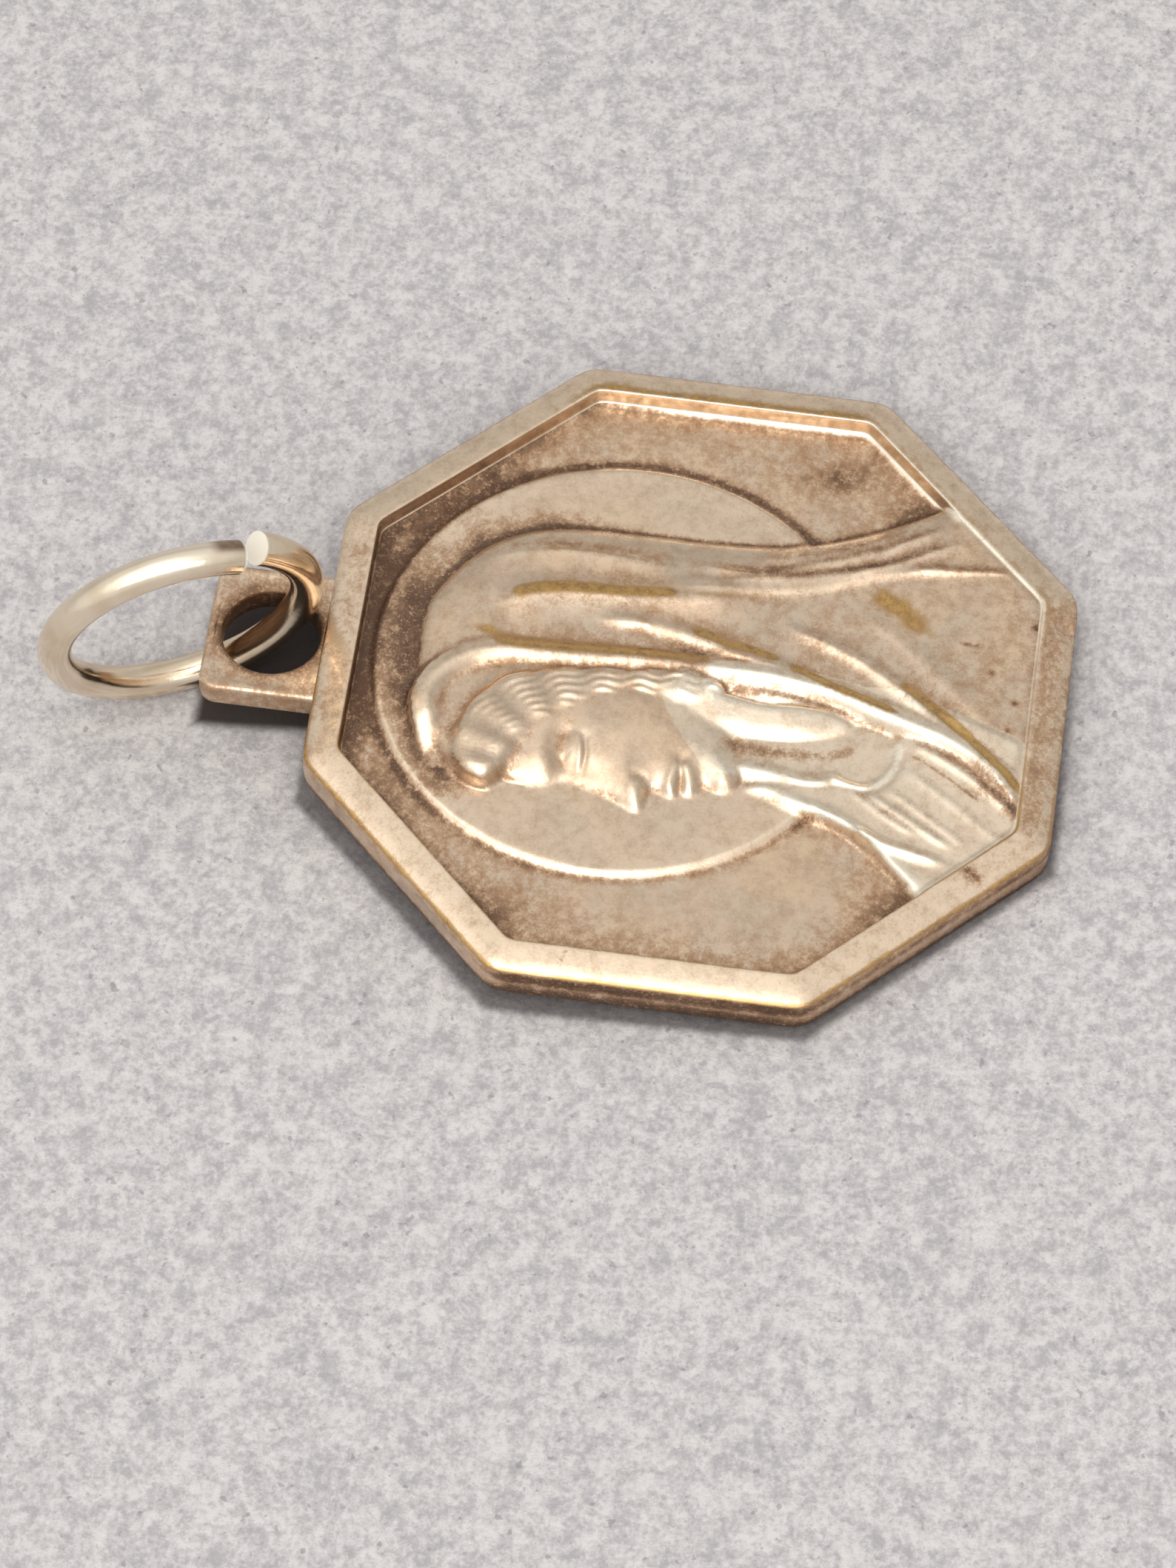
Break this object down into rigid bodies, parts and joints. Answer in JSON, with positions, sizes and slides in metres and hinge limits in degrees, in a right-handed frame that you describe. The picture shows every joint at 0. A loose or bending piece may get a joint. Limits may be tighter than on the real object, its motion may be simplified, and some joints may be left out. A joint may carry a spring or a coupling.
{
  "type": "octagonal devotional medal with jump ring",
  "caption": "Eight-sided struck medal with a veiled, haloed woman's head in relief inside a sloped frame, a pierced tab loop, and a split jump ring that swings in it.",
  "frame": {"origin": "middle of the medal's flat back face", "axes": "+Y towards the loop, +Z out of the struck face, +X to the right when the figure is upright and faces the viewer's left"},
  "size_m": [0.02, 0.0273, 0.0078],
  "materials": {
    "struck_metal": "silver plate over brass, brown patina in the hollows, worn to yellow brass beside the folds and along the frame's edge",
    "ring_wire": "bright drawn wire, plated pale silver, lightly yellowed"
  },
  "bodies": {
    "medal": {"medal_body": "struck_metal"},
    "ring": {"jump_ring": "ring_wire"}
  },
  "joints": [
    {"name": "ring_swing", "type": "hinge", "parent": "medal", "child": "ring", "pos_m": [-0.0004, 0.01295, 0.00039], "axis": [0.8965, 0.4105, 0.1668], "range_deg": [-130, 4]}
  ]
}
